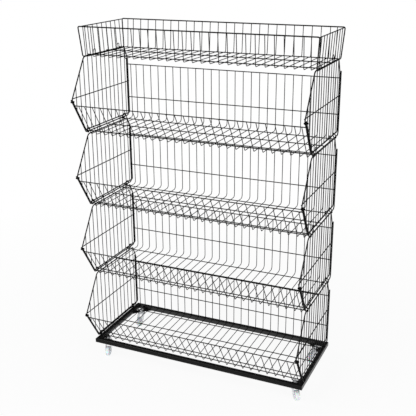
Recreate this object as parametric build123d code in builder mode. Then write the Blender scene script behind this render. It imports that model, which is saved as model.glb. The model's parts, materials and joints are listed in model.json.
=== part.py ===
"""Mobile display rack: stacked wire baskets with leaning front lips on a castor base.

Millimetres, +Z up, front towards -Y. The origin is on the floor, under the middle of the rack.
"""

import os
from math import cos, hypot, radians, sin, tan

from build123d import *

os.makedirs("parts", exist_ok=True)

# Wire sizes and welds
thin_wire = 3.0
rail_wire = 4.0
frame_wire = 5.0
weld_bite = 0.5
seat_gap = 0.3
butt_gap = 0.05

# Base frame of square tube
rack_width = 1000.0
base_depth = 400.0
tube_side = 20.0
tube_wall = 1.5
tube_round = 2.0
base_behind_back = 15.0

# Corner plates that carry the castors
plate_thick = 3.0
plate_outer_leg = 30.0
plate_inner_leg = 68.0
plate_hollow = 8.0
stem_inset = 25.0

# Castors
castor_height = 70.0
wheel_radius = 22.0
wheel_width = 20.0
tyre_width = 18.0
hub_radius = 14.5
hub_boss_wall = 1.5
tyre_round = 4.0
castor_trail = 20.0
axle_radius = 3.0
axle_head_radius = 5.5
axle_head_high = 2.0
fork_sheet = 2.0
fork_side_gap = 1.0
fork_eye_radius = 8.0
crown_radius = 18.0
crown_leg_length = 26.0
cup_high = 6.0
cup_radius = 14.0
cup_lip_radius = 16.0
cup_lip_high = 2.0
stem_radius = 5.0
stem_head_radius = 8.0
stem_head_high = 2.5
stem_past_nut = 2.0
running_clearance = 0.06
hole_clearance = 0.25
washer_thick = 1.6
washer_radius = 10.0
nut_across_flats = 17.0
nut_high = 8.0
castor_turns = {"front_left": -76.0, "front_right": -48.0, "back_left": -90.0, "back_right": 210.0}

# Lower baskets: a bent tray with two end wires, and two side panels
basket_count = 4
tier_pitch = 324.0
end_wire_inset = 3.0
thin_pitch = 37.3
outer_wire_step = 22.0
floor_depth = 354.0
back_bend = 16.0
front_bend = 9.0
lip_lean = 31.7
lip_rail_rise = 134.5
lip_tip_rise = 161.5
lip_low_rail_rise = 16.0
floor_rail_steps = (56.0, 180.0, 316.0)
back_mid_rail_rise = 95.5
back_top_rail_rise = 244.5
post_rise = 272.5
wire_past_rail = 1.0

# Side panels
panel_side_gap = 0.3
side_bottom_rise = 21.0
side_rear_rise = 268.0
side_top_rear_step = 26.0
side_top_front = 352.0
side_elbow_rise = 163.0
side_bend = 8.0
side_top_bend = 22.0
side_first_step = 27.0
side_pitch = 33.0
side_rail_rise = 168.0
loop_wire = 3.0
loop_half_width = 8.0
loop_rise = 24.0
loop_foot = 5.0
loop_lean = 9.0
loop_steps = (86.0, 278.0)

# Rings that tie each side panel to its tray
ring_wire = 4.0
ring_clearance = 0.05
lip_ring_rise = 153.0
floor_ring_steps = (46.0, 345.0)

# Top basket
top_rim_rise = 121.5
top_floor_back = 17.0
top_floor_front = 349.0
top_splay = 10.0
top_side_splay = 9.0
top_wall_bend = 9.0
top_corner_bend = 6.0
top_rail_bays = (0, 4, 7)
top_side_pitch = 36.0

# Sizes that follow from the ones above
lean = radians(lip_lean)
half_width = rack_width / 2
end_x = half_width - end_wire_inset
rail_inset = frame_wire / 2 + rail_wire / 2 + butt_gap
thin_inset = rail_inset - rail_wire / 2 - thin_wire / 2 + weld_bite
rail_low = rail_inset - rail_wire / 2
end_floor_rise = rail_inset + rail_wire / 2 + butt_gap + frame_wire / 2
panel_x = end_x - frame_wire - panel_side_gap
side_top_rise = tier_pitch + rail_low - seat_gap - frame_wire / 2
base_top = castor_height + tube_side
first_floor = base_top + seat_gap - rail_low
top_floor = first_floor + basket_count * tier_pitch
outer_x = end_x - outer_wire_step
regular_count = int((outer_x - outer_wire_step) / thin_pitch)
regular_places = [step * thin_pitch for step in range(-regular_count, regular_count + 1)]
thin_places = [-outer_x] + regular_places + [outer_x]
end_places = [-end_x, end_x]

# The rack is centred front to back between the lip tips and the base's rear face
tip_reach = floor_depth + lip_tip_rise * tan(lean) + frame_wire / 2 * cos(lean)
back_y = (tip_reach - base_behind_back) / 2
base_back_y = back_y + base_behind_back
base_front_y = base_back_y - base_depth
front_turn = 90.0 - lip_lean
floor_back_y = back_y - back_bend
floor_front_y = back_y - floor_depth + front_bend * tan(radians(front_turn) / 2)


def front_corner_y(inset):
    """Where the floor line and the lip line meet, for a wire lying that far inside the tray's outline."""
    slide = inset * (1 - sin(lean)) / cos(lean)
    return back_y - floor_depth + inset * cos(lean) - slide * sin(lean)


def lip_y(inset, rise):
    """The lip line's place front to back at a height above the tray's outline."""
    return front_corner_y(inset) - (rise - inset) * tan(lean)


def across(places):
    """Places along the rack's width."""
    return [(x, 0, 0) for x in places]


def start_plane(line):
    """The plane square to the start of a wire's line."""
    return Plane(origin=line @ 0, z_dir=line % 0)


def save(part, name, place=None):
    """Label a finished piece, stand it in its place and write it."""
    piece = part if place is None else part.moved(place)
    piece.label = name
    export_step(piece, f"parts/{name}.step")


# Base frame: four square tubes with mitred corners
def tube_rail(length):
    """A hollow square tube along X with mitred ends, its outer face at y = 0, on z = 0."""
    with BuildPart() as rail:
        with BuildSketch():
            with BuildLine():
                Polyline(
                    (-length / 2, 0),
                    (length / 2, 0),
                    (length / 2 - tube_side, tube_side),
                    (-length / 2 + tube_side, tube_side),
                    close=True,
                )
            make_face()
        extrude(amount=tube_side)
        fillet(rail.edges().filter_by(Axis.X), tube_round)
        bore = tube_side - 2 * tube_wall
        with Locations((0, tube_side / 2, tube_side / 2)):
            Box(length, bore, bore, mode=Mode.SUBTRACT)
    return rail.part


base_middle_y = (base_front_y + base_back_y) / 2
long_rail = tube_rail(rack_width)
short_rail = tube_rail(base_depth)
save(long_rail, "base_front_rail", Location((0, base_front_y, castor_height)))
save(long_rail, "base_back_rail", Location((0, base_back_y, castor_height), (0, 0, 180)))
save(short_rail, "base_left_rail", Location((-half_width, base_middle_y, castor_height), (0, 0, -90)))
save(short_rail, "base_right_rail", Location((half_width, base_middle_y, castor_height), (0, 0, 90)))

# Castor places: the inner corners of the base, each with the turn that faces its plate inwards
inner_x = half_width - tube_side
inner_front_y = base_front_y + tube_side
inner_back_y = base_back_y - tube_side
corners = {
    "front_left": (-inner_x, inner_front_y, 0),
    "front_right": (inner_x, inner_front_y, 90),
    "back_right": (inner_x, inner_back_y, 180),
    "back_left": (-inner_x, inner_back_y, 270),
}
corner_spots = [Location((x, y, 0), (0, 0, turn)) for x, y, turn in corners.values()]
stem_offset = Location((stem_inset, stem_inset, 0))
stem_points = {name: (spot * stem_offset).position for name, spot in zip(corners, corner_spots)}

# Corner plates, welded across the base's corners flush with its underside
with BuildPart() as corner_plate:
    with BuildSketch(Plane.XY.offset(castor_height)):
        with BuildLine():
            Line((plate_outer_leg, 0), (0, plate_outer_leg))
            Line((0, plate_outer_leg), (0, plate_inner_leg))
            middle = plate_inner_leg / 2 - plate_hollow / 2
            ThreePointArc((0, plate_inner_leg), (middle, middle), (plate_inner_leg, 0))
            Line((plate_inner_leg, 0), (plate_outer_leg, 0))
        make_face()
        with Locations((stem_inset, stem_inset)):
            Circle(stem_radius + hole_clearance, mode=Mode.SUBTRACT)
    extrude(amount=plate_thick)

with BuildPart() as corner_plates:
    with Locations(*corner_spots):
        add(corner_plate.part)
save(corner_plates.part, "corner_plates")

# Castor stems: a threaded stem riveted over below the fork's crown
cup_low = castor_height - cup_high
crown_high = cup_low - seat_gap
crown_low = crown_high - fork_sheet
plate_top = castor_height + plate_thick
nut_low = plate_top + washer_thick
nut_top = nut_low + nut_high
head_high = crown_low - seat_gap
stem_top = nut_top + stem_past_nut
castor_points = [(point.X, point.Y, 0) for point in stem_points.values()]

with BuildPart() as castor_stems:
    with Locations(*castor_points):
        with Locations((0, 0, head_high - stem_head_high)):
            Cylinder(stem_head_radius, stem_head_high, align=(Align.CENTER, Align.CENTER, Align.MIN))
        with Locations((0, 0, head_high)):
            Cylinder(stem_radius, stem_top - head_high, align=(Align.CENTER, Align.CENTER, Align.MIN))
save(castor_stems.part, "castor_stems")

# Bearing cups between the corner plates and the forks
with BuildPart() as swivel_cups:
    with Locations(*castor_points):
        with Locations((0, 0, cup_low)):
            Cylinder(cup_radius, cup_high, align=(Align.CENTER, Align.CENTER, Align.MIN))
            Cylinder(cup_lip_radius, cup_lip_high, align=(Align.CENTER, Align.CENTER, Align.MIN))
            Cylinder(
                stem_radius + running_clearance,
                cup_high,
                align=(Align.CENTER, Align.CENTER, Align.MIN),
                mode=Mode.SUBTRACT,
            )
save(swivel_cups.part, "swivel_cups")

# Washers and nuts on top of the corner plates
with BuildPart() as stem_washers:
    with BuildSketch(Plane.XY.offset(plate_top)):
        with Locations(*[(x, y) for x, y, _ in castor_points]):
            Circle(washer_radius)
            Circle(stem_radius + hole_clearance, mode=Mode.SUBTRACT)
    extrude(amount=washer_thick)
save(stem_washers.part, "stem_washers")

with BuildPart() as stem_nuts:
    with BuildSketch(Plane.XY.offset(nut_low)):
        with Locations(*[(x, y) for x, y, _ in castor_points]):
            RegularPolygon(nut_across_flats / 2, 6, major_radius=False)
            Circle(stem_radius + running_clearance, mode=Mode.SUBTRACT)
    extrude(amount=nut_high)
save(stem_nuts.part, "stem_nuts")

# Fork: a pressed crown with two legs, trailing along +X from the stem
leg_inner = wheel_width / 2 + fork_side_gap
leg_outer = leg_inner + fork_sheet
crown_middle = (crown_low + crown_high) / 2

with BuildPart() as fork:
    with BuildSketch(Plane.XY.offset(crown_low)):
        Circle(crown_radius)
    extrude(amount=fork_sheet)
    for side in (leg_inner, -leg_outer):
        with BuildSketch(Plane.XZ.offset(-side)):
            with Locations((castor_trail, wheel_radius)):
                Circle(fork_eye_radius)
            with Locations((0, crown_middle)):
                Rectangle(crown_leg_length, fork_sheet)
            make_hull()
        extrude(amount=-fork_sheet)
    with Locations((0, 0, crown_middle)):
        Cylinder(stem_radius + running_clearance, fork_sheet, mode=Mode.SUBTRACT)
    with Locations((castor_trail, 0, wheel_radius)):
        Cylinder(
            axle_radius + running_clearance, 2 * leg_outer, rotation=(90, 0, 0), mode=Mode.SUBTRACT
        )

# Axle: a rivet through both fork legs and the wheel
with BuildPart() as axle:
    with Locations((castor_trail, 0, wheel_radius)):
        Cylinder(axle_radius, 2 * leg_outer, rotation=(90, 0, 0))
    for side in (-1, 1):
        with Locations((castor_trail, side * (leg_outer + axle_head_high / 2), wheel_radius)):
            Cylinder(axle_head_radius, axle_head_high, rotation=(90, 0, 0))
    outer_rims = axle.edges().filter_by(GeomType.CIRCLE).group_by(Axis.Y)
    fillet(outer_rims[0] + outer_rims[-1], axle_head_high / 2)

# Wheel: a moulded hub with a tyre round it
with BuildPart() as hub:
    with Locations((castor_trail, 0, wheel_radius)):
        Cylinder(hub_radius, tyre_width, rotation=(90, 0, 0))
        Cylinder(axle_head_radius + hub_boss_wall, wheel_width, rotation=(90, 0, 0))
        Cylinder(axle_radius + running_clearance, wheel_width, rotation=(90, 0, 0), mode=Mode.SUBTRACT)

with BuildPart() as tyre:
    with Locations((castor_trail, 0, wheel_radius)):
        Cylinder(wheel_radius, tyre_width, rotation=(90, 0, 0))
    fillet(tyre.edges().filter_by(GeomType.CIRCLE), tyre_round)
    with Locations((castor_trail, 0, wheel_radius)):
        Cylinder(hub_radius, tyre_width, rotation=(90, 0, 0), mode=Mode.SUBTRACT)

for name, point in stem_points.items():
    spot = Location((point.X, point.Y, 0), (0, 0, castor_turns[name]))
    save(fork.part, f"{name}_castor_fork", spot)
    save(axle.part, f"{name}_castor_axle", spot)
    save(hub.part, f"{name}_castor_hub", spot)
    save(tyre.part, f"{name}_castor_tyre", spot)


# Tray wires, drawn in the plane across the rack inside an outline with z = 0 at the floor
def back_bent_wire(inset, top, diameter):
    """One wire of the back: straight down, then round the bend to the floor."""
    with BuildPart() as wire:
        with BuildLine(Plane.YZ) as path:
            post = Line((back_y - inset, top), (back_y - inset, back_bend))
            JernArc(post @ 1, post % 1, back_bend - inset, -90)
        with BuildSketch(start_plane(path.line)):
            Circle(diameter / 2)
        sweep()
    return wire.part


def lip_bent_wire(inset, top, diameter):
    """One wire of the lip: round the bend from the floor, then up along the lip."""
    with BuildPart() as wire:
        with BuildLine(Plane.YZ) as path:
            bend = JernArc((floor_front_y, inset), (-1, 0), front_bend - inset, -front_turn)
            Line(bend @ 1, (lip_y(inset, top), top))
        with BuildSketch(start_plane(path.line)):
            Circle(diameter / 2)
        sweep()
    return wire.part


thin_back = back_bent_wire(thin_inset, back_top_rail_rise + wire_past_rail, thin_wire)
thin_lip = lip_bent_wire(thin_inset, lip_rail_rise + wire_past_rail, thin_wire)
floor_length = floor_back_y - floor_front_y
floor_middle_y = (floor_back_y + floor_front_y) / 2

# End wire: down the post, forward on top of the floor rails, and up along the lip to its tip
with BuildPart() as end_wire:
    with BuildLine(Plane.YZ) as path:
        FilletPolyline(
            (back_y, post_rise),
            (back_y, end_floor_rise),
            (lip_y(0, end_floor_rise), end_floor_rise),
            (lip_y(0, lip_tip_rise), lip_tip_rise),
            radius=[back_bend, front_bend],
        )
    with BuildSketch(start_plane(path.line)):
        Circle(frame_wire / 2)
    sweep()

with BuildPart() as end_wires:
    with Locations(*across(end_places)):
        add(end_wire.part)

with BuildPart() as tray_back:
    with Locations(*across(thin_places)):
        add(thin_back)
    with Locations(*[(0, back_y - rail_inset, rise) for rise in (back_mid_rail_rise, back_top_rail_rise)]):
        Cylinder(rail_wire / 2, 2 * end_x, rotation=(0, 90, 0))

with BuildPart() as tray_floor:
    with Locations(*[(x, floor_middle_y, thin_inset) for x in thin_places]):
        Cylinder(thin_wire / 2, floor_length, rotation=(90, 0, 0))
    with Locations(*[(0, back_y - step, rail_inset) for step in floor_rail_steps]):
        Cylinder(rail_wire / 2, 2 * end_x, rotation=(0, 90, 0))

with BuildPart() as tray_lip:
    with Locations(*across(thin_places)):
        add(thin_lip)
    with Locations(*[(0, lip_y(rail_inset, rise), rise) for rise in (lip_low_rail_rise, lip_rail_rise)]):
        Cylinder(rail_wire / 2, 2 * end_x, rotation=(0, 90, 0))

# Side panel: a bent frame that stands close beside the tray's end wire, filled with thin wires
bottom_front = (lip_y(0, side_bottom_rise), side_bottom_rise)
elbow = (lip_y(0, side_elbow_rise), side_elbow_rise)
top_front = (back_y - side_top_front, side_top_rise)
top_rear = (back_y - side_top_rear_step, side_top_rise)
rear_top = (back_y, side_rear_rise)
bottom_rear = (back_y, side_bottom_rise)


def edge_rise(start, end, y):
    """The height of a straight edge at a place front to back."""
    share = (y - start[0]) / (end[0] - start[0])
    return start[1] + share * (end[1] - start[1])


def side_wire_span(y):
    """The bottom and top of an upright wire in the side panel."""
    low = side_bottom_rise if y > bottom_front[0] else edge_rise(bottom_front, elbow, y)
    high = side_top_rise if y > top_front[0] else edge_rise(top_front, elbow, y)
    return low, high


side_first_y = back_y - side_first_step
side_wire_count = int((side_first_y - elbow[0]) / side_pitch) + 1
edge_share = (side_rail_rise - side_elbow_rise) / (side_top_rise - side_elbow_rise)
side_rail_front = elbow[0] + edge_share * (top_front[0] - elbow[0])
side_rail_x = panel_x - thin_wire / 2 - rail_wire / 2 + weld_bite
loop_x = panel_x - frame_wire / 2 - loop_wire / 2 + weld_bite

with BuildPart() as side_panel:
    with BuildLine(Plane.YZ.offset(panel_x)) as path:
        FilletPolyline(
            bottom_rear,
            rear_top,
            top_rear,
            top_front,
            elbow,
            bottom_front,
            radius=[side_bend, side_bend, side_bend, side_top_bend, side_bend, side_bend],
            close=True,
        )
    with BuildSketch(start_plane(path.line)):
        Circle(frame_wire / 2)
    sweep()
    for step in range(side_wire_count):
        wire_y = side_first_y - step * side_pitch
        low, high = side_wire_span(wire_y)
        with Locations((panel_x, wire_y, (low + high) / 2)):
            Cylinder(thin_wire / 2, high - low)
    with Locations((side_rail_x, (back_y + side_rail_front) / 2, side_rail_rise)):
        Cylinder(rail_wire / 2, back_y - side_rail_front, rotation=(90, 0, 0))
    for step in loop_steps:
        foot = Plane(
            origin=(loop_x, back_y - step, side_top_rise),
            x_dir=(0, 1, 0),
            z_dir=(cos(radians(loop_lean)), 0, sin(radians(loop_lean))),
        )
        with BuildLine(foot) as loop:
            leg = Line((-loop_half_width, -loop_foot), (-loop_half_width, loop_rise - loop_half_width))
            bow = JernArc(leg @ 1, leg % 1, loop_half_width, -180)
            Line(bow @ 1, (loop_half_width, -loop_foot))
        with BuildSketch(start_plane(loop.line)):
            Circle(loop_wire / 2)
        sweep()

with BuildPart() as side_panel_left:
    mirror(side_panel.part, about=Plane.YZ)

# Tie rings: closed oblong rings round a tray end wire and the panel edge beside it
ring_x = (end_x + panel_x) / 2
ring_bow = frame_wire / 2 + ring_clearance + ring_wire / 2
side_step = end_x - panel_x
floor_step = side_bottom_rise - end_floor_rise


def tie_ring(plane, reach):
    """One oblong ring, with its two bows round two wires that far apart."""
    with BuildPart() as ring:
        with BuildLine(plane) as path:
            upper = Line((-reach / 2, ring_bow), (reach / 2, ring_bow))
            right = JernArc(upper @ 1, upper % 1, ring_bow, -180)
            lower = Line(right @ 1, (-reach / 2, -ring_bow))
            JernArc(lower @ 1, lower % 1, ring_bow, -180)
        with BuildSketch(start_plane(path.line)):
            Circle(ring_wire / 2)
        sweep()
    return ring.part


lip_ring_plane = Plane(
    origin=(ring_x, lip_y(0, lip_ring_rise), lip_ring_rise),
    x_dir=(1, 0, 0),
    z_dir=(0, -sin(lean), cos(lean)),
)
rings = [tie_ring(lip_ring_plane, side_step)]
for step in floor_ring_steps:
    floor_ring_plane = Plane(
        origin=(ring_x, back_y - step, end_floor_rise + floor_step / 2),
        x_dir=(side_step, 0, -floor_step),
        z_dir=(0, 1, 0),
    )
    rings.append(tie_ring(floor_ring_plane, hypot(side_step, floor_step)))

with BuildPart() as tie_rings:
    for ring in rings:
        add(ring)
        add(mirror(ring, about=Plane.YZ, mode=Mode.PRIVATE))

for number in range(1, basket_count + 1):
    tier = Location((0, 0, first_floor + (number - 1) * tier_pitch))
    save(end_wires.part, f"basket_{number}_end_wires", tier)
    save(tray_back.part, f"basket_{number}_back", tier)
    save(tray_floor.part, f"basket_{number}_floor", tier)
    save(tray_lip.part, f"basket_{number}_lip", tier)
    save(side_panel_left.part, f"basket_{number}_left_side", tier)
    save(side_panel.part, f"basket_{number}_right_side", tier)
    save(tie_rings.part, f"basket_{number}_tie_rings", tier)

# Top basket: shallow, with four splayed walls
top_tier = Location((0, 0, top_floor))
top_back_y = back_y - top_floor_back
top_front_y = back_y - top_floor_front
top_flat_back = top_back_y - top_wall_bend
top_flat_front = top_front_y + top_wall_bend
top_length = top_flat_back - top_flat_front
top_middle_y = (top_back_y + top_front_y) / 2
top_rim_x = end_x + top_side_splay
short_wire_count = int((top_back_y - top_front_y) / top_side_pitch)
short_first_y = top_middle_y - (short_wire_count - 1) / 2 * top_side_pitch
top_rail_places = [(0, short_first_y + (bay + 0.5) * top_side_pitch, rail_inset) for bay in top_rail_bays]

with BuildPart() as top_floor_grid:
    with Locations(*[(x, top_middle_y, thin_inset) for x in thin_places]):
        Cylinder(thin_wire / 2, top_length, rotation=(90, 0, 0))
    with Locations(*[(x, top_middle_y, 0) for x in end_places]):
        Cylinder(frame_wire / 2, top_length, rotation=(90, 0, 0))
    with Locations(*top_rail_places):
        Cylinder(rail_wire / 2, 2 * end_x, rotation=(0, 90, 0))
save(top_floor_grid.part, "top_basket_floor", top_tier)


def wall_wire(x, flat_y, foot_y, inset):
    """One upright wire of a long wall, bent up from the floor and ending at the rim."""
    outward = 1 if foot_y > flat_y else -1
    shift = inset * outward
    rim_y = foot_y + outward * top_splay - shift
    with BuildPart() as wire:
        with BuildLine() as path:
            FilletPolyline(
                (x, flat_y, inset),
                (x, foot_y - shift, inset),
                (x, rim_y, top_rim_rise),
                radius=top_wall_bend - inset - weld_bite,
            )
        with BuildSketch(start_plane(path.line)):
            Circle(thin_wire / 2)
        sweep()
    return wire.part


def long_wall(flat_y, foot_y):
    """A front or back wall: a heavy rim that turns down into corner posts, and thin upright wires."""
    outward = 1 if foot_y > flat_y else -1
    rim_y = foot_y + outward * top_splay
    post_bend = top_wall_bend - weld_bite
    thin = wall_wire(0, flat_y, foot_y, thin_inset)
    with BuildPart() as wall:
        with BuildLine() as path:
            FilletPolyline(
                (-end_x, flat_y, 0),
                (-end_x, foot_y, 0),
                (-top_rim_x, rim_y, top_rim_rise),
                (top_rim_x, rim_y, top_rim_rise),
                (end_x, foot_y, 0),
                (end_x, flat_y, 0),
                radius=[post_bend, top_corner_bend, top_corner_bend, post_bend],
            )
        with BuildSketch(start_plane(path.line)):
            Circle(frame_wire / 2)
        sweep()
        with Locations(*across(thin_places)):
            add(thin)
    return wall.part


save(long_wall(top_flat_back, top_back_y), "top_basket_back", top_tier)
save(long_wall(top_flat_front, top_front_y), "top_basket_front", top_tier)

# Short walls: a thin top wire between the long walls' corners, on upright wires from the end wire
top_back_rim_y = top_back_y + top_splay
top_front_rim_y = top_front_y - top_splay
corner_drop = top_corner_bend * (1 - cos(radians(45)))
short_top_x = top_rim_x - corner_drop
short_top_rise = top_rim_rise - corner_drop
post_lean = top_splay * (corner_drop + rail_wire / 2) / top_rim_rise
short_top_length = top_back_rim_y - top_front_rim_y - frame_wire - 2 * (post_lean + butt_gap)
short_foot_rise = frame_wire / 2 + butt_gap
short_foot_x = end_x + (short_top_x - end_x) * short_foot_rise / short_top_rise

with BuildPart() as short_wire:
    with BuildLine(Plane.XZ) as path:
        Line((short_foot_x, short_foot_rise), (short_top_x, short_top_rise))
    with BuildSketch(Plane.XY.offset(short_foot_rise)):
        with Locations((short_foot_x, 0)):
            Circle(thin_wire / 2)
    sweep()

with BuildPart() as short_wall:
    with Locations((short_top_x, top_middle_y, short_top_rise)):
        Cylinder(rail_wire / 2, short_top_length, rotation=(90, 0, 0))
    with Locations(*[(0, short_first_y + step * top_side_pitch, 0) for step in range(short_wire_count)]):
        add(short_wire.part)
save(short_wall.part, "top_basket_right", top_tier)

with BuildPart() as short_wall_left:
    mirror(short_wall.part, about=Plane.YZ)
save(short_wall_left.part, "top_basket_left", top_tier)
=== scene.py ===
# %% [markdown]
# # A wire display rack on castors
#
# The rack is four wire baskets with leaning lips, stacked on a square-tube base, with a shallow
# basket on top. The solids come from the CAD model as a fixed frame. This script redraws the
# welded wire as fine round wire with weld beads, and gives every piece its finish.

import json
from math import cos, pi, radians, sin, tan

import bpy
from mathutils import Matrix, Vector


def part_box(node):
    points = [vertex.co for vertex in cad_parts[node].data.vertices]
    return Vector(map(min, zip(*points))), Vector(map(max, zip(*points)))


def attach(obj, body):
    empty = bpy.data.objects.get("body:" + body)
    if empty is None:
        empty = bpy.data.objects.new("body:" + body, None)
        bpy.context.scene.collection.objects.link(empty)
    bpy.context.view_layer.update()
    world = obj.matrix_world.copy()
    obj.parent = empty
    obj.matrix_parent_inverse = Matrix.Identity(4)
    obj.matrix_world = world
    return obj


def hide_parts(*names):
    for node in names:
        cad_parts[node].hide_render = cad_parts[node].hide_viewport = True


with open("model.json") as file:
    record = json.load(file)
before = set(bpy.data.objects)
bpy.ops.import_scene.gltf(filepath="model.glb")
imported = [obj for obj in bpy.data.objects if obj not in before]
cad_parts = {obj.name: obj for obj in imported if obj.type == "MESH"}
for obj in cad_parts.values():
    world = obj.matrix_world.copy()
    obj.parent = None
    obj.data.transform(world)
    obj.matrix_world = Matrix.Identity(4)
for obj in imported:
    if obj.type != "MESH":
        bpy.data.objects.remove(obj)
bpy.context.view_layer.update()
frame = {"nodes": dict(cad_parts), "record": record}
nodes = frame["nodes"]

# %% [markdown]
# ## Mixing finishes
#
# A finish is a tree of shader nodes. Wiring each Math node by hand hides what is being worked out,
# so a small class stands for a socket and lets ordinary sums build the nodes. One method adds any
# other kind of node: its settings go first, because some of them change which sockets it has.


# %% A socket that can be used in sums
class Level:
    """A grey value on its way through a finish; sums on it add Math nodes."""

    def __init__(self, finish, socket):
        self.finish = finish
        self.socket = socket

    def sum_with(self, operation, first, second):
        return self.finish.add("ShaderNodeMath", {"operation": operation}, {0: first, 1: second})

    def __add__(self, other):
        return self.sum_with("ADD", self, other)

    def __sub__(self, other):
        return self.sum_with("SUBTRACT", self, other)

    def __mul__(self, other):
        return self.sum_with("MULTIPLY", self, other)

    def __rsub__(self, other):
        return self.sum_with("SUBTRACT", other, self)

    __radd__ = __add__
    __rmul__ = __mul__


# %% A finish being mixed
class Mixer:
    """A tree of shader nodes being wired."""

    def __init__(self, tree):
        self.tree = tree

    def add(self, kind, settings=None, sockets=None, out=0):
        """Add one node, set it up, join its sockets and return one of its outputs."""
        node = self.tree.nodes.new(kind)
        for setting, value in (settings or {}).items():
            setattr(node, setting, value)
        for name, value in (sockets or {}).items():
            self.join(node.inputs[name], value)
        return Level(self, node.outputs[out])

    def join(self, socket, value):
        """Link a socket to a level, or set its plain value."""
        if isinstance(value, Level):
            self.tree.links.new(value.socket, socket)
        else:
            socket.default_value = value

    def ray(self, kind):
        """1 for rays of one kind, such as those the camera sees, and 0 for all others."""
        return self.add("ShaderNodeLightPath", out=kind)


socket_names = {"specular_ior_level": "Specular IOR Level"}


class Finish(Mixer):
    """A material with a Principled surface."""

    def __init__(self, name):
        self.material = bpy.data.materials.new(name)
        self.material.use_nodes = True
        super().__init__(self.material.node_tree)
        self.surface = self.tree.nodes["Principled BSDF"]
        self.output = self.tree.nodes["Material Output"]

    def coat(self, **sockets):
        """Set the surface's sockets by name, with _ for a space."""
        for name, value in sockets.items():
            title = socket_names.get(name, name.replace("_", " ").title())
            self.join(self.surface.inputs[title], value)
        return self.material

    def noise(self, size, detail=2.0):
        """Soft grey noise, about as coarse as size, in metres."""
        place = self.add("ShaderNodeTexCoord", out="Object")
        sockets = {"Vector": place, "Scale": 1 / size, "Detail": detail}
        return self.add("ShaderNodeTexNoise", None, sockets, out="Fac")

    def between(self, share, first, second):
        """A colour between two colours."""
        sockets = {"Factor": share, 6: (*first, 1), 7: (*second, 1)}
        return self.add("ShaderNodeMix", {"data_type": "RGBA"}, sockets, out=2)

    def bump(self, height, strength, distance):
        """Small relief from a grey value."""
        sockets = {"Height": height, "Strength": strength, "Distance": distance}
        return self.add("ShaderNodeBump", None, sockets)


# %% [markdown]
# ## Black powder coat
#
# The baskets and the base are steel with a black powder coat. The powder melts into a satin skin
# with a very fine orange-peel relief, and it is a little duller in some places than in others.
# Noise on object coordinates gives both, and it holds still when the piece moves.


# %% Powder coats
coat_cloud_size = 0.05
coat_cloud_detail = 3.0
coat_cloud_dulling = 0.14
peel_size = 0.0009
peel_strength = 0.12
relief_depth = 0.0002
soot_black = (0.003, 0.003, 0.003)


def powder_coat(name, light, dull, gloss):
    """A black powder coat that clouds towards a lighter black."""
    finish = Finish(name)
    cloud = finish.noise(coat_cloud_size, coat_cloud_detail)
    peel = finish.noise(peel_size)
    return finish.coat(
        base_color=finish.between(cloud, soot_black, light),
        roughness=dull + cloud * coat_cloud_dulling,
        specular_ior_level=gloss,
        normal=finish.bump(peel, peel_strength, relief_depth),
    )


wire_coat = powder_coat("wire_coat", light=(0.007, 0.007, 0.007), dull=0.40, gloss=0.12)
base_coat = powder_coat("base_coat", light=(0.008, 0.008, 0.008), dull=0.30, gloss=0.50)
print("coats:", wire_coat.name, base_coat.name)

# %% [markdown]
# ## Zinc plate
#
# The castor forks, stems, nuts and washers are steel with a pale zinc plate. A clear passivated film
# scatters part of the light, so it looks milkier than bare metal, and its crystals make the gloss
# vary over a few millimetres.


# %% Zinc plate
crystal_size = 0.006
crystal_detail = 4.0
crystal_dulling = 0.2
zinc_dark = (0.78, 0.80, 0.82)
zinc_pale = (0.88, 0.89, 0.91)
zinc_metal = 0.4
zinc_dull = 0.24
grain_size = 0.0006
grain_strength = 0.08


def zinc():
    """Pale zinc plate with faint crystals."""
    finish = Finish("zinc_plate")
    crystal = finish.noise(crystal_size, crystal_detail)
    grain = finish.noise(grain_size)
    return finish.coat(
        base_color=finish.between(crystal, zinc_dark, zinc_pale),
        metallic=zinc_metal,
        roughness=zinc_dull + crystal * crystal_dulling,
        normal=finish.bump(grain, grain_strength, relief_depth),
    )


zinc_plate = zinc()
print("plate:", zinc_plate.name)

# %% [markdown]
# ## Pale wheels
#
# The wheels are pale plastic: a milky hub and a slightly bluish, glossier tyre that lets some light
# into its skin. Subsurface scattering gives that milky depth, and its sockets hold plain numbers.


# %% Wheel plastics
plastic_cloud_size = 0.012
plastic_cloud_dulling = 0.1
plastic_skin_depth = 0.004


def pale_plastic(name, low, high, dull, milk):
    """Milky moulded plastic."""
    finish = Finish(name)
    cloud = finish.noise(plastic_cloud_size)
    return finish.coat(
        base_color=finish.between(cloud, low, high),
        roughness=dull + cloud * plastic_cloud_dulling,
        subsurface_weight=milk,
        subsurface_scale=plastic_skin_depth,
    )


wheel_hub = pale_plastic("wheel_hub", (0.80, 0.82, 0.84), (0.86, 0.88, 0.90), dull=0.40, milk=0.2)
wheel_tyre = pale_plastic("wheel_tyre", (0.76, 0.82, 0.86), (0.84, 0.88, 0.92), dull=0.22, milk=0.35)
print("plastics:", wheel_hub.name, wheel_tyre.name)

# %% [markdown]
# ## Solids that stay
#
# The base is mitred square tube with plates welded across its corners, and the castors are pressed
# forks with riveted axles and moulded wheels. The CAD solids already have these shapes, so they are
# shown as they are and only take their finish from the slot that the record names.

# %% Finishes on the CAD nodes
finishes = {
    "wire_coat": wire_coat,
    "base_coat": base_coat,
    "zinc_plate": zinc_plate,
    "wheel_hub": wheel_hub,
    "wheel_tyre": wheel_tyre,
}
for subpart in frame["record"]["subparts"]:
    materials = nodes[subpart["node"]].data.materials
    materials.clear()
    materials.append(finishes[subpart["material_slot"]])
print("finished nodes:", len(nodes))

# %% [markdown]
# ## The welded grid tree
#
# A basket wall is a row of bent wires welded to a few cross rails. Each wall starts as bare centre
# lines: one thin wire, the rails and the heavy end wires. A Geometry Nodes tree swells each line to
# its own gauge, repeats the thin wire along the wall at the pitch, and sets a weld bead at each
# crossing. Drawing every wire by hand would give the same mesh, but nothing to adjust.


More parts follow.
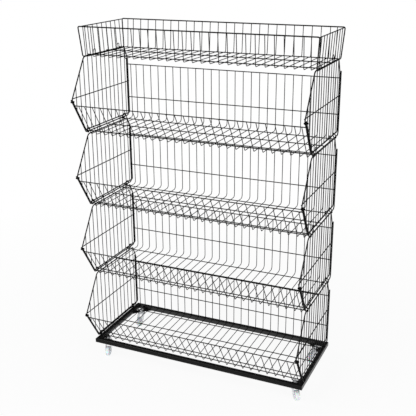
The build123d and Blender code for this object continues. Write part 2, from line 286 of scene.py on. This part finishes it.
# %% Helper for node trees
class Tree:
    """A Geometry Nodes tree being wired."""

    def __init__(self, name):
        self.group = bpy.data.node_groups.new(name, "GeometryNodeTree")
        self.group.is_modifier = True
        self.group.interface.new_socket("Geometry", in_out="OUTPUT", socket_type="NodeSocketGeometry")
        self.group.interface.new_socket("Geometry", in_out="INPUT", socket_type="NodeSocketGeometry")
        self.entry = self.group.nodes.new("NodeGroupInput")
        self.exit = self.group.nodes.new("NodeGroupOutput")

    def input(self, name, kind):
        """A named input of the tree."""
        self.group.interface.new_socket(name, in_out="INPUT", socket_type=kind)
        return self.entry.outputs[name]

    def add(self, kind, settings=None, sockets=None):
        """Add one node, set it up, join its inputs and return its outputs."""
        node = self.group.nodes.new(kind)
        for setting, value in (settings or {}).items():
            setattr(node, setting, value)
        for name, value in (sockets or {}).items():
            self.join(node.inputs[name], value)
        return node.outputs

    def join(self, socket, value):
        """Link a socket, several links for a list, or set its plain value."""
        if isinstance(value, list):
            for link in value:
                self.group.links.new(link, socket)
        elif isinstance(value, bpy.types.NodeSocket):
            self.group.links.new(value, socket)
        else:
            socket.default_value = value

    def sum_of(self, operation, first, second):
        """One Math node."""
        return self.add("ShaderNodeMath", {"operation": operation}, {0: first, 1: second})[0]

    def along(self, x):
        """A place along the rack's width."""
        return self.add("ShaderNodeCombineXYZ", None, {"X": x})[0]

    def mark(self, name):
        """A number stored on the points."""
        return self.add("GeometryNodeInputNamedAttribute", {"data_type": "FLOAT"}, {"Name": name})[0]

    def parted(self, geometry, mark):
        """Split a geometry by a mark: with it, without it."""
        sockets = {"Geometry": geometry, "Selection": self.mark(mark)}
        return self.add("GeometryNodeSeparateGeometry", {"domain": "POINT"}, sockets)

    def end(self, geometry, material):
        """Make the instances real, give them their finish and leave the tree."""
        real = self.add("GeometryNodeRealizeInstances", None, {"Geometry": geometry})[0]
        done = self.add("GeometryNodeSetMaterial", None, {"Geometry": real, "Material": material})[0]
        self.join(self.exit.inputs[0], done)
        return self.group


# %% The welded grid tree
bead_segments = 8
bead_rings = 5


def welded_grid_tree():
    """Lines to round wire, one thin line repeated along X, and a bead at each marked point."""
    tree = Tree("welded_grid")
    pitch = tree.input("Pitch", "NodeSocketFloat")
    count = tree.input("Count", "NodeSocketInt")
    reach = tree.input("Outer Reach", "NodeSocketFloat")
    sides = tree.input("Sides", "NodeSocketInt")
    bead = tree.input("Bead Radius", "NodeSocketFloat")
    material = tree.input("Material", "NodeSocketMaterial")

    profile = tree.add("GeometryNodeCurvePrimitiveCircle", None, {"Resolution": sides, "Radius": 1.0})[0]
    sockets = {"Segments": bead_segments, "Rings": bead_rings, "Radius": bead}
    ball = tree.add("GeometryNodeMeshUVSphere", None, sockets)[0]

    def wired(geometry):
        """Round wires along the lines, and beads on the marked points."""
        points, lines = tree.parted(geometry, "bead")
        curve = tree.add("GeometryNodeMeshToCurve", None, {"Mesh": lines})[0]
        gauge = tree.mark("gauge")
        sockets = {"Curve": curve, "Profile Curve": profile, "Scale": gauge, "Fill Caps": True}
        wire = tree.add("GeometryNodeCurveToMesh", None, sockets)[0]
        beads = tree.add("GeometryNodeInstanceOnPoints", None, {"Points": points, "Instance": ball})[0]
        return tree.add("GeometryNodeJoinGeometry", None, {"Geometry": [wire, beads]})[0]

    repeated, single = tree.parted(tree.entry.outputs["Geometry"], "row")
    width = tree.sum_of("MULTIPLY", tree.sum_of("SUBTRACT", count, 1.0), pitch)
    first = tree.along(tree.sum_of("MULTIPLY", width, -0.5))
    sockets = {"Count": count, "Start Location": first, "Offset": tree.along(pitch)}
    even = tree.add("GeometryNodeMeshLine", None, sockets)[0]
    left = tree.along(tree.sum_of("MULTIPLY", reach, -1.0))
    sockets = {"Count": 2, "Start Location": left, "Offset": tree.along(reach)}
    outer = tree.add("GeometryNodeMeshLine", {"mode": "END_POINTS"}, sockets)[0]
    places = tree.add("GeometryNodeJoinGeometry", None, {"Geometry": [even, outer]})[0]
    sockets = {"Points": places, "Instance": wired(repeated)}
    row = tree.add("GeometryNodeInstanceOnPoints", None, sockets)[0]
    whole = tree.add("GeometryNodeJoinGeometry", None, {"Geometry": [row, wired(single)]})[0]
    return tree.end(whole, material)


grid_tree = welded_grid_tree()
print("tree:", grid_tree.name, len(grid_tree.nodes), "nodes")

# %% [markdown]
# ## Centre lines
#
# A wall's lines are kept in one mesh of loose edges, with three numbers on each point: the wire's
# radius, whether the wire is repeated, and whether the point carries a weld bead. The tree reads
# those numbers by name. The coat lies on the steel as a skin a tenth of a millimetre thick, so it is
# added to every wire's radius.


# %% Drawing centre lines
coat_skin = 0.0001


class Lines:
    """Centre lines of one wall, and the weld beads on them."""

    def __init__(self):
        self.points, self.edges = [], []
        self.gauge, self.row, self.bead = [], [], []

    def keep(self, point, gauge, row, bead):
        self.points.append(Vector(point))
        self.gauge.append(gauge)
        self.row.append(float(row))
        self.bead.append(float(bead))

    def wire(self, path, gauge, row=False, closed=False):
        """One wire along a path."""
        first = len(self.points)
        for point in path:
            self.keep(point, gauge + coat_skin, row, False)
        last = len(self.points) - 1
        self.edges += [(i, i + 1) for i in range(first, last)]
        if closed:
            self.edges.append((last, first))

    def weld(self, point, row=False):
        """A weld bead on its own point."""
        self.keep(point, 0.0, row, True)

    def mesh(self, name):
        """The lines as a mesh of loose edges."""
        mesh = bpy.data.meshes.new(name)
        mesh.from_pydata(self.points, self.edges, [])
        for mark, values in (("gauge", self.gauge), ("row", self.row), ("bead", self.bead)):
            mesh.attributes.new(mark, "FLOAT", "POINT").data.foreach_set("value", values)
        return mesh


# %% Turning lines into a piece
def run_tree(group, mesh, values):
    """The mesh that a node tree makes from a mesh, with its inputs set by name."""
    maker = bpy.data.objects.new("maker", mesh)
    bpy.context.collection.objects.link(maker)
    modifier = maker.modifiers.new("maker", "NODES")
    modifier.node_group = group
    for socket in group.interface.items_tree:
        if socket.in_out == "INPUT" and socket.name in values:
            modifier[socket.identifier] = values[socket.name]
    evaluated = maker.evaluated_get(bpy.context.evaluated_depsgraph_get())
    made = bpy.data.meshes.new_from_object(evaluated)
    maker.modifiers.remove(modifier)
    bpy.data.objects.remove(maker)
    bpy.data.meshes.remove(mesh)
    return made


def piece(name, mesh, body, stands_for):
    """Show a mesh as a piece that rides on a body and stands for a CAD node."""
    shown = bpy.data.objects.new(name, mesh)
    bpy.context.collection.objects.link(shown)
    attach(shown, body)
    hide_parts(stands_for)
    return shown


sharp_turn = radians(40)


def smooth(mesh):
    """Round sides and crisp ends."""
    mesh.shade_smooth()
    mesh.set_sharp_from_angle(angle=sharp_turn)
    return mesh


# %% [markdown]
# ## Gauges and places of the tray wires
#
# The thin wires are 3 mm, the cross rails 4 mm and the end wires 5 mm. Welding presses crossing
# wires half a millimetre into each other. The rails lie inside the thin wires, so a wire's place in
# a wall is its inset from the tray's outline. Everything else is read from the frame.

# %% Wire gauges
thin_radius = 0.0015
rail_radius = 0.002
frame_radius = 0.0025
weld_bite = 0.0005
bead_radius = 0.0019
wire_sides = 12
butt_gap = 0.00005
rail_inset = frame_radius + rail_radius + butt_gap
thin_inset = rail_inset - rail_radius - thin_radius + weld_bite
bead_inset = thin_inset + thin_radius - weld_bite / 2
thin_pitch = 0.0373
outer_wire_step = 0.022

floor_low, floor_high = (Vector(corner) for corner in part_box("basket_1_floor"))
ends_high = Vector(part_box("basket_1_end_wires")[1])
tray_level = floor_low.z + thin_radius - thin_inset
end_x = ends_high.x - frame_radius
back_y = ends_high.y - frame_radius
back_bend = back_y - floor_high.y
post_rise = ends_high.z - tray_level
outer_x = end_x - outer_wire_step
regular = int((outer_x - outer_wire_step) / thin_pitch)
grid_sizes = {
    "Pitch": thin_pitch,
    "Count": 2 * regular + 1,
    "Outer Reach": outer_x,
    "Sides": wire_sides,
    "Bead Radius": bead_radius,
    "Material": wire_coat,
}
print("tray: end wires at", round(end_x, 4), "with", 2 * regular + 3, "thin wires between")


# %% Paths with round corners
bend_steps = 8


def arc(centre, radius, start, end, steps=bend_steps):
    """Points round an arc in the plane across the rack: y and z."""
    turns = [start + (end - start) * step / steps for step in range(steps + 1)]
    return [(centre[0] + radius * cos(turn), centre[1] + radius * sin(turn)) for turn in turns]


def rounded(corners, radii, closed=False):
    """A path through corners, each turned on its own radius."""
    path = []
    count = len(corners)
    for index, corner in enumerate(corners):
        if not closed and index in (0, count - 1):
            path.append(corner)
            continue
        before = (corners[index - 1] - corner).normalized()
        after = (corners[(index + 1) % count] - corner).normalized()
        half = before.angle(after) / 2
        radius = radii[index]
        middle = corner + (before + after).normalized() * (radius / sin(half))
        start = corner + before * (radius / tan(half)) - middle
        axis = start.cross(corner - middle).normalized()
        for step in range(bend_steps + 1):
            turn = Matrix.Rotation((pi - 2 * half) * step / bend_steps, 3, axis)
            path.append(middle + turn @ start)
    return path


def at(x, path):
    """Lift a path drawn across the rack to a place along its width."""
    return [Vector((x, y, z)) for y, z in path]


def across(y, z):
    """A rail's line from end wire to end wire."""
    return [Vector((-end_x, y, z)), Vector((end_x, y, z))]


# %% [markdown]
# ## Tray backs
#
# The back is a row of thin wires that bend forward into the floor, with two rails across them. The
# wall is drawn once, with its outline's floor at zero, and copied to the four baskets.


# %% One mesh for four baskets
basket_numbers = range(1, 5)


def basket_level(number):
    """The height of the floor of a basket's outline."""
    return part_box(f"basket_{number}_floor")[0][2] + thin_radius - thin_inset


def four_baskets(part, lines):
    """Make one wall and stand a copy of it in each lower basket."""
    mesh = smooth(run_tree(grid_tree, lines.mesh(part), grid_sizes))
    for number in basket_numbers:
        copy = mesh.copy()
        copy.transform(Matrix.Translation((0, 0, basket_level(number))))
        piece(f"wire_{number}_{part}", copy, f"basket_{number}", f"basket_{number}_{part}")
    print(part, "wire mesh:", len(mesh.polygons), "faces")
    bpy.data.meshes.remove(mesh)


# %% Tray backs
back_mid_rail_rise = 0.0955
back_top_rail_rise = 0.2445
wire_past_rail = 0.001
back_rails = (back_mid_rail_rise, back_top_rail_rise)
back_bend_centre = (back_y - back_bend, back_bend)


def back_path(inset, top):
    """Down the back and round the bend to the floor."""
    return [(back_y - inset, top)] + arc(back_bend_centre, back_bend - inset, 0, -pi / 2)


back = Lines()
back.wire(at(0, back_path(thin_inset, back_top_rail_rise + wire_past_rail)), thin_radius, row=True)
for rise in back_rails:
    back.wire(across(back_y - rail_inset, rise), rail_radius)
    back.weld((0, back_y - bead_inset, rise), row=True)
four_baskets("back", back)

# %% [markdown]
# ## Tray floors
#
# The same wires run forward as the floor. Three rails lie on top of them, inside the basket.

# %% Tray floors
floor_rail_steps = (0.056, 0.180, 0.316)


def floor_path(inset):
    """Straight forward along the floor."""
    return [(floor_high.y, inset), (floor_low.y, inset)]


floor = Lines()
floor.wire(at(0, floor_path(thin_inset)), thin_radius, row=True)
for step in floor_rail_steps:
    floor.wire(across(back_y - step, rail_inset), rail_radius)
    floor.weld((0, back_y - step, bead_inset), row=True)
four_baskets("floor", floor)

# %% [markdown]
# ## Leaning lips
#
# At the front the wires turn up on a tight bend and lean outwards as the lip. A low rail and a top
# rail cross them on the inside.

# %% Leaning lips
lip_lean = radians(31.7)
front_bend = 0.009
front_turn = pi / 2 - lip_lean
lip_low_rail_rise = 0.016
lip_rail_rise = 0.1345
lip_tip_rise = 0.1615
front_bend_centre = (floor_low.y, front_bend)
lip_start_y = floor_low.y - front_bend * cos(lip_lean)
lip_start_rise = front_bend - front_bend * sin(lip_lean)


def lip_point(inset, rise):
    """A point of the lip's line at a height."""
    y = lip_start_y + inset * cos(lip_lean)
    z = lip_start_rise + inset * sin(lip_lean)
    return (y - (rise - z) * tan(lip_lean), rise)


def lip_path(inset, top):
    """Round the front bend and up along the lip."""
    bend = arc(front_bend_centre, front_bend - inset, -pi / 2, -pi / 2 - front_turn)
    return bend + [lip_point(inset, top)]


lip = Lines()
lip.wire(at(0, lip_path(thin_inset, lip_rail_rise + wire_past_rail)), thin_radius, row=True)
for rise in (lip_low_rail_rise, lip_rail_rise):
    lip.wire(across(*lip_point(rail_inset, rise)), rail_radius)
    lip.weld((0, *lip_point(bead_inset, rise)), row=True)
four_baskets("lip", lip)

# %% [markdown]
# ## End wires
#
# A heavier wire closes each end of the tray: down the post, forward on top of the floor rails and up
# past the lip. It is one line from end to end, so the gauge never breaks at a bend.

# %% End wires
end_floor_rise = rail_inset + rail_radius + butt_gap + frame_radius
end_corners = [
    (back_y, post_rise),
    (back_y, end_floor_rise),
    lip_point(0, end_floor_rise),
    lip_point(0, lip_tip_rise),
]
ends = Lines()
for x in (-end_x, end_x):
    ends.wire(rounded(at(x, end_corners), [0, back_bend, front_bend, 0]), frame_radius)
four_baskets("end_wires", ends)

# %% [markdown]
# ## Side panels
#
# Each side is a bent frame close beside the end wire, filled with upright wires and crossed by one
# rail. Two loops on its top bar locate the basket above. The upright wires end on a slanting frame,
# so each has its own length, and a loop works out where the frame is.

# %% Side panel outline
panel_side_gap = 0.0003
seat_gap = 0.0003
side_bottom_rise = 0.021
side_rear_rise = 0.268
side_top_rear_step = 0.026
side_top_front = 0.352
side_elbow_rise = 0.163
side_bend = 0.008
side_top_bend = 0.022
tier_pitch = basket_level(2) - basket_level(1)
panel_x = end_x - 2 * frame_radius - panel_side_gap
side_top_rise = tier_pitch + rail_inset - rail_radius - seat_gap - frame_radius
bottom_front = lip_point(0, side_bottom_rise)
elbow = lip_point(0, side_elbow_rise)
top_front = (back_y - side_top_front, side_top_rise)
outline = [
    (back_y, side_bottom_rise),
    (back_y, side_rear_rise),
    (back_y - side_top_rear_step, side_top_rise),
    top_front,
    elbow,
    bottom_front,
]
outline_bends = [side_bend, side_bend, side_bend, side_top_bend, side_bend, side_bend]
print("side panel:", round(back_y - elbow[0], 3), "deep")

# %% Side panel wires
side_pitch = 0.033
side_rail_rise = 0.168
side_first_step = 0.027
side_first_y = back_y - side_first_step
side_rail_x = panel_x - thin_radius - rail_radius + weld_bite
side_bead_x = panel_x - thin_radius + weld_bite / 2
side_wire_count = int((side_first_y - elbow[0]) / side_pitch) + 1


def edge_rise(start, end, y):
    """The height of a straight edge at a place front to back."""
    return start[1] + (y - start[0]) / (end[0] - start[0]) * (end[1] - start[1])


def add_side_wires(lines, side):
    """The frame, the upright wires and the rail of one panel."""
    bent = rounded(at(side * panel_x, outline), outline_bends, closed=True)
    lines.wire(bent, frame_radius, closed=True)
    for step in range(side_wire_count):
        y = side_first_y - step * side_pitch
        low = side_bottom_rise if y > bottom_front[0] else edge_rise(bottom_front, elbow, y)
        high = side_top_rise if y > top_front[0] else edge_rise(top_front, elbow, y)
        lines.wire(at(side * panel_x, [(y, low), (y, high)]), thin_radius)
        lines.weld((side * side_bead_x, y, side_rail_rise))
    share = (side_rail_rise - elbow[1]) / (top_front[1] - elbow[1])
    front_y = elbow[0] + share * (top_front[0] - elbow[0])
    lines.wire(at(side * side_rail_x, [(back_y, side_rail_rise), (front_y, side_rail_rise)]), rail_radius)


# %% Stacking loops
loop_radius = 0.0015
loop_half_width = 0.008
loop_rise = 0.024
loop_foot = 0.005
loop_lean = radians(9.0)
loop_steps = (0.086, 0.278)
loop_x = panel_x - frame_radius - loop_radius + weld_bite


def add_loops(lines, side):
    """Two upturned loops on the top bar, leaning a little inwards."""
    for step in loop_steps:
        path = [(-loop_half_width, -loop_foot)]
        path += arc((0, loop_rise - loop_half_width), loop_half_width, pi, 0)
        path += [(loop_half_width, -loop_foot)]
        points = []
        for along, up in path:
            x = side * (loop_x - up * sin(loop_lean))
            z = side_top_rise + up * cos(loop_lean)
            points.append(Vector((x, back_y - step + along, z)))
        lines.wire(points, loop_radius)


for name, side in (("left_side", -1), ("right_side", 1)):
    panel = Lines()
    add_side_wires(panel, side)
    add_loops(panel, side)
    four_baskets(name, panel)

# %% [markdown]
# ## Tie rings
#
# Small closed rings tie each panel's frame to the tray's end wire: one near the tip of the lip and
# two along the floor. A ring lies square to the two wires it holds.

# %% Tie rings
ring_radius = 0.002
ring_clearance = 0.00005
lip_ring_rise = 0.153
floor_ring_steps = (0.046, 0.345)
ring_bow = frame_radius + ring_clearance + ring_radius


def ring_path(near, far, along):
    """An oblong ring round two wires that run the same way."""
    reach = (far - near).normalized()
    square = along.cross(reach)
    path = []
    for centre, start in ((far, -pi / 2), (near, pi / 2)):
        for step in range(bend_steps + 1):
            turn = start + pi * step / bend_steps
            path.append(centre + (reach * cos(turn) + square * sin(turn)) * ring_bow)
    return path


lip_along = Vector((0, -sin(lip_lean), cos(lip_lean)))
lip_y = lip_point(0, lip_ring_rise)[0]
rings = Lines()
for side in (-1, 1):
    tip, edge = (Vector((side * x, lip_y, lip_ring_rise)) for x in (end_x, panel_x))
    rings.wire(ring_path(tip, edge, lip_along), ring_radius, closed=True)
    for step in floor_ring_steps:
        end_wire = Vector((side * end_x, back_y - step, end_floor_rise))
        panel_bar = Vector((side * panel_x, back_y - step, side_bottom_rise))
        rings.wire(ring_path(end_wire, panel_bar, Vector((0, 1, 0))), ring_radius, closed=True)
four_baskets("tie_rings", rings)

# %% [markdown]
# ## Top basket
#
# The top basket is shallow. Its long walls each have a heavy rim that turns down at the corners into
# posts, and its short walls have a thin top wire. The walls splay a little outwards.

# %% Top basket places
top_low, top_high = (Vector(corner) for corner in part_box("top_basket_floor"))
top_level = top_low.z + frame_radius
top_wall_bend = 0.009
top_corner_bend = 0.006
top_splay = 0.010
top_side_splay = 0.009
top_side_pitch = 0.036
top_rail_bays = (0, 4, 7)
top_back_y = top_high.y + top_wall_bend
top_front_y = top_low.y - top_wall_bend
top_middle_y = (top_back_y + top_front_y) / 2
top_rim_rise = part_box("top_basket_front")[1][2] - frame_radius - top_level
top_rim_x = end_x + top_side_splay
short_count = int((top_back_y - top_front_y) / top_side_pitch)
short_first_y = top_middle_y - (short_count - 1) / 2 * top_side_pitch


def top_piece(part, lines):
    """Make one wall of the top basket in its place."""
    mesh = smooth(run_tree(grid_tree, lines.mesh(part), grid_sizes))
    mesh.transform(Matrix.Translation((0, 0, top_level)))
    piece(f"wire_top_{part}", mesh, "top_basket", f"top_basket_{part}")
    print("top", part, "wire mesh:", len(mesh.polygons), "faces")


# %% Top basket floor
top_floor = Lines()
top_floor.wire(at(0, [(top_high.y, thin_inset), (top_low.y, thin_inset)]), thin_radius, row=True)
for x in (-end_x, end_x):
    top_floor.wire(at(x, [(top_high.y, 0), (top_low.y, 0)]), frame_radius)
for bay in top_rail_bays:
    y = short_first_y + (bay + 0.5) * top_side_pitch
    top_floor.wire(across(y, rail_inset), rail_radius)
    top_floor.weld((0, y, bead_inset), row=True)
top_piece("floor", top_floor)

# %% Long walls
thin_wall_bend = top_wall_bend - thin_inset - weld_bite
post_bend = top_wall_bend - weld_bite


def long_wall(part, flat_y, foot_y):
    """A front or back wall with its rim, posts and thin wires."""
    outward = 1 if foot_y > flat_y else -1
    rim_y = foot_y + outward * top_splay
    shift = outward * thin_inset
    wall = Lines()
    corners = [(flat_y, thin_inset), (foot_y - shift, thin_inset), (rim_y - shift, top_rim_rise)]
    wall.wire(rounded(at(0, corners), [0, thin_wall_bend, 0]), thin_radius, row=True)
    rim = at(-end_x, [(flat_y, 0), (foot_y, 0)]) + at(-top_rim_x, [(rim_y, top_rim_rise)])
    rim += at(top_rim_x, [(rim_y, top_rim_rise)]) + at(end_x, [(foot_y, 0), (flat_y, 0)])
    wall.wire(rounded(rim, [0, post_bend, top_corner_bend, top_corner_bend, post_bend, 0]), frame_radius)
    top_piece(part, wall)


long_wall("back", top_high.y, top_back_y)
long_wall("front", top_low.y, top_front_y)

# %% Short walls
corner_drop = top_corner_bend * (1 - cos(pi / 4))
short_top_x = top_rim_x - corner_drop
short_top_rise = top_rim_rise - corner_drop
short_foot_rise = frame_radius + butt_gap
short_foot_x = end_x + (short_top_x - end_x) * short_foot_rise / short_top_rise
short_low_y, short_high_y = (corner[1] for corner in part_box("top_basket_right"))

for part, side in (("left", -1), ("right", 1)):
    wall = Lines()
    top_line = [(short_low_y, short_top_rise), (short_high_y, short_top_rise)]
    wall.wire(at(side * short_top_x, top_line), rail_radius)
    for step in range(short_count):
        y = short_first_y + step * top_side_pitch
        foot = Vector((side * short_foot_x, y, short_foot_rise))
        wall.wire([foot, Vector((side * short_top_x, y, short_top_rise))], thin_radius)
    top_piece(part, wall)

# %% [markdown]
# ## Castor fixings
#
# Each castor hangs from its corner plate on a stem, with a bearing cup below the plate and a washer
# and a nut above it. A nut is cut from hexagon bar and its corners are turned back in curves; cups
# and washers are pressed, so their rims are round. Each is a skin over rings of points. A tree then
# sets one on each stem and turns each nut by its own amount, as tightening leaves it.


# %% Tree for the four stems
nut_side_turn = pi / 3
turn_seed = 5


def on_stems_tree():
    """A copy of a part on each point, each one turned by its own amount."""
    tree = Tree("on_stems")
    part = tree.input("Part", "NodeSocketObject")
    seed = tree.input("Seed", "NodeSocketInt")
    material = tree.input("Material", "NodeSocketMaterial")
    settings = {"transform_space": "ORIGINAL"}
    shape = tree.add("GeometryNodeObjectInfo", settings, {"Object": part})["Geometry"]
    sockets = {0: (0, 0, 0), 1: (0, 0, nut_side_turn), "Seed": seed}
    turn = tree.add("FunctionNodeRandomValue", {"data_type": "FLOAT_VECTOR"}, sockets)[0]
    sockets = {"Points": tree.entry.outputs["Geometry"], "Instance": shape, "Rotation": turn}
    return tree.end(tree.add("GeometryNodeInstanceOnPoints", None, sockets)[0], material)


stems_tree = on_stems_tree()
stem_head_radius = 0.008
stems_low, stems_high = (Vector(corner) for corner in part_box("castor_stems"))
stem_x = stems_high.x - stem_head_radius
stem_rows = (stems_low.y + stem_head_radius, stems_high.y - stem_head_radius)
stem_points = [(x, y, 0) for x in (-stem_x, stem_x) for y in stem_rows]
print("stems:", len(stem_points), "with", len(stems_tree.nodes), "nodes in their tree")


# %% Skins over rings
ring_sides = 48


def skin(rings):
    """A closed mesh over rings of points, with the last ring joined to the first."""
    count = len(rings[0])
    faces = []
    for row in range(len(rings)):
        low, high = row * count, (row + 1) % len(rings) * count
        for step in range(count):
            after = (step + 1) % count
            faces.append((low + step, low + after, high + after, high + step))
    mesh = bpy.data.meshes.new("skin")
    mesh.from_pydata([point for ring in rings for point in ring], [], faces)
    return mesh


def ring_of(radius, height):
    """A ring of points whose radius and height may change round it."""
    turns = [2 * pi * step / ring_sides for step in range(ring_sides)]
    return [(radius(turn) * cos(turn), radius(turn) * sin(turn), height(turn)) for turn in turns]


def turned(profile):
    """Rings of a turned part from its radii and heights, up the outside and down the bore."""
    return [ring_of(lambda turn: radius, lambda turn: height) for radius, height in profile]


def on_stems(name, rings, stands_for):
    """Set a part on each of the four stems."""
    shape = skin(rings)
    source = bpy.data.objects.new(name, shape)
    bpy.context.collection.objects.link(source)
    points = bpy.data.meshes.new("stems")
    points.from_pydata(stem_points, [], [])
    made = run_tree(stems_tree, points, {"Part": source, "Seed": turn_seed, "Material": zinc_plate})
    bpy.data.objects.remove(source)
    bpy.data.meshes.remove(shape)
    piece(name, smooth(made), "base", stands_for)
    print(name, "mesh:", len(made.polygons), "faces")


# %% Nuts
nut_low, nut_high = (corner[2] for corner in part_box("stem_nuts"))
nut_flat = 0.0085
nut_face_share = 0.95
nut_face = nut_face_share * nut_flat
nut_bore = 0.00506
bore_edge = 0.0006
cut_slope = tan(radians(30))


def nut_corner(turn):
    """The radius of a hexagon at a turn."""
    return nut_flat / cos((turn + nut_side_turn / 2) % nut_side_turn - nut_side_turn / 2)


def nut_cut(turn):
    """How far a face cone cuts down the nut's side at a turn."""
    return (nut_corner(turn) - nut_face) * cut_slope


bore_profile = [
    (nut_face, nut_high),
    (nut_bore + bore_edge, nut_high),
    (nut_bore, nut_high - bore_edge),
    (nut_bore, nut_low + bore_edge),
    (nut_bore + bore_edge, nut_low),
    (nut_face, nut_low),
]
nut_sides = [
    ring_of(nut_corner, lambda turn: nut_low + nut_cut(turn)),
    ring_of(nut_corner, lambda turn: nut_high - nut_cut(turn)),
]
on_stems("zinc_nuts", nut_sides + turned(bore_profile), "stem_nuts")

# %% Washers and cups
washer_low, washer_high = (corner[2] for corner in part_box("stem_washers"))
washer_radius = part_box("stem_washers")[1][0] - stem_x
washer_bore = 0.00525
washer_edge = 0.0005
washer_profile = [
    (washer_radius - washer_edge, washer_low),
    (washer_radius, washer_low + washer_edge),
    (washer_radius, washer_high - washer_edge),
    (washer_radius - washer_edge, washer_high),
    (washer_bore, washer_high),
    (washer_bore, washer_low),
]
on_stems("zinc_washers", turned(washer_profile), "stem_washers")

cup_low, cup_high = (corner[2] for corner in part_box("swivel_cups"))
cup_lip_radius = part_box("swivel_cups")[1][0] - stem_x
cup_radius = 0.014
cup_lip_high = 0.002
cup_edge = 0.0007
cup_profile = [
    (cup_lip_radius - cup_edge, cup_low),
    (cup_lip_radius, cup_low + cup_edge),
    (cup_lip_radius, cup_low + cup_lip_high - cup_edge),
    (cup_lip_radius - cup_edge, cup_low + cup_lip_high),
    (cup_radius, cup_low + cup_lip_high + cup_edge),
    (cup_radius, cup_high - cup_edge),
    (cup_radius - cup_edge, cup_high),
    (nut_bore, cup_high),
    (nut_bore, cup_low),
]
on_stems("zinc_cups", turned(cup_profile), "swivel_cups")

# %% [markdown]
# ## Stage
#
# A plain pale floor, soft lamps and the camera where the photograph was taken. The floor and the
# world look white to the camera, while the lamps stay at a plain level. A gloss sees the pale floor
# behind and beside the rack, but a dim room in front and above, so black coats stay black and only
# the base's side face picks up the floor. A low lamp reaches the castors under the base, which the
# lamps above leave in the dark, and makes no highlight on the black.

# %% Floor
floor_size = 40.0
floor_grey = (0.86, 0.86, 0.86, 1)
floor_dull = 0.9
floor_glow = 0.92
shadow_reach = 0.6
white_reach = 2.5
front_gloss = 0.1
dim_until_y = -0.3
bright_from_y = -0.1

stage_floor = Finish("stage_floor")
stage_floor.coat(base_color=floor_grey, roughness=floor_dull)
painted = Level(stage_floor, stage_floor.surface.outputs[0])
in_view, in_gloss = stage_floor.ray("Is Camera Ray"), stage_floor.ray("Is Glossy Ray")
place = stage_floor.add("ShaderNodeTexCoord", out="Object")
distance = stage_floor.add("ShaderNodeVectorMath", {"operation": "LENGTH"}, {0: place}, out="Value")


def rising(value, start, end, low):
    """A level that rises from low to 1 while a value goes from start to end."""
    sockets = {"Value": value, "From Min": start, "From Max": end, "To Min": low, "To Max": 1.0}
    return stage_floor.add("ShaderNodeMapRange", None, sockets)


glow = rising(distance, shadow_reach, white_reach, floor_glow)
depth = stage_floor.add("ShaderNodeSeparateXYZ", None, {0: place}, out="Y")
behind = rising(depth, dim_until_y, bright_from_y, front_gloss)
sockets = {"Color": in_view + in_gloss * behind, "Strength": 1.0}
white = stage_floor.add("ShaderNodeEmission", None, sockets)
sockets = {0: in_view * glow + in_gloss, 1: painted, 2: white}
shown = stage_floor.add("ShaderNodeMixShader", None, sockets)
stage_floor.join(stage_floor.output.inputs["Surface"], shown)

floor_mesh = bpy.data.meshes.new("stage_floor")
half_floor = floor_size / 2
signs = ((-1, -1), (1, -1), (1, 1), (-1, 1))
floor_mesh.from_pydata([(x * half_floor, y * half_floor, 0) for x, y in signs], [], [(0, 1, 2, 3)])
floor_mesh.materials.append(stage_floor.material)
floor_object = bpy.data.objects.new("stage_floor", floor_mesh)
bpy.context.collection.objects.link(floor_object)
print("floor:", floor_size, "m")

# %% World and lamps
world = bpy.data.worlds.new("studio")
bpy.context.scene.world = world
world.use_nodes = True
sky_light = 0.45
sky_gloss = 0.08
sky = Mixer(world.node_tree)
in_view, in_gloss = sky.ray("Is Camera Ray"), sky.ray("Is Glossy Ray")
level = in_view + sky_gloss * in_gloss + sky_light * (1 - in_view - in_gloss)
sky.join(world.node_tree.nodes["Background"].inputs["Color"], level)


def lamp(name, place, target, power, size, mirrored=True):
    """A soft square lamp that faces a point. One that isn't mirrored makes no highlight."""
    light = bpy.data.lights.new(name, "AREA")
    light.energy = power
    light.size = size
    holder = bpy.data.objects.new(name, light)
    bpy.context.collection.objects.link(holder)
    holder.visible_glossy = mirrored
    holder.location = place
    holder.rotation_euler = (Vector(target) - Vector(place)).to_track_quat("-Z", "Y").to_euler()


middle = (0, 0, 0.75)
castors = (0, 0, 0.05)
lamp("key_lamp", (-2.2, -2.6, 3.4), middle, power=60, size=2.0)
lamp("fill_lamp", (2.8, -1.8, 2.2), middle, power=25, size=2.0)
lamp("low_lamp", (0.6, -3.0, 0.5), castors, power=40, size=1.2, mirrored=False)

# %% Camera
camera_place = (1.256, back_y - 2.9738, tray_level + 1.7412)
camera_azimuth = radians(24.44)
camera_elevation = radians(19.63)
camera_roll = radians(-0.42)
camera_lens = 64.88
sensor_width = 36.0
camera_reach = 100.0

camera = bpy.data.cameras.new("camera")
camera.lens = camera_lens
camera.sensor_width = sensor_width
camera.clip_end = camera_reach
holder = bpy.data.objects.new("camera", camera)
bpy.context.collection.objects.link(holder)
facing = Matrix.Rotation(camera_azimuth, 4, "Z") @ Matrix.Rotation(pi / 2 - camera_elevation, 4, "X")
facing = facing @ Matrix.Rotation(camera_roll, 4, "Z")
holder.matrix_world = Matrix.Translation(camera_place) @ facing
bpy.context.scene.camera = holder
bpy.context.scene.view_settings.view_transform = "Standard"
print("camera at", [round(v, 3) for v in camera_place])
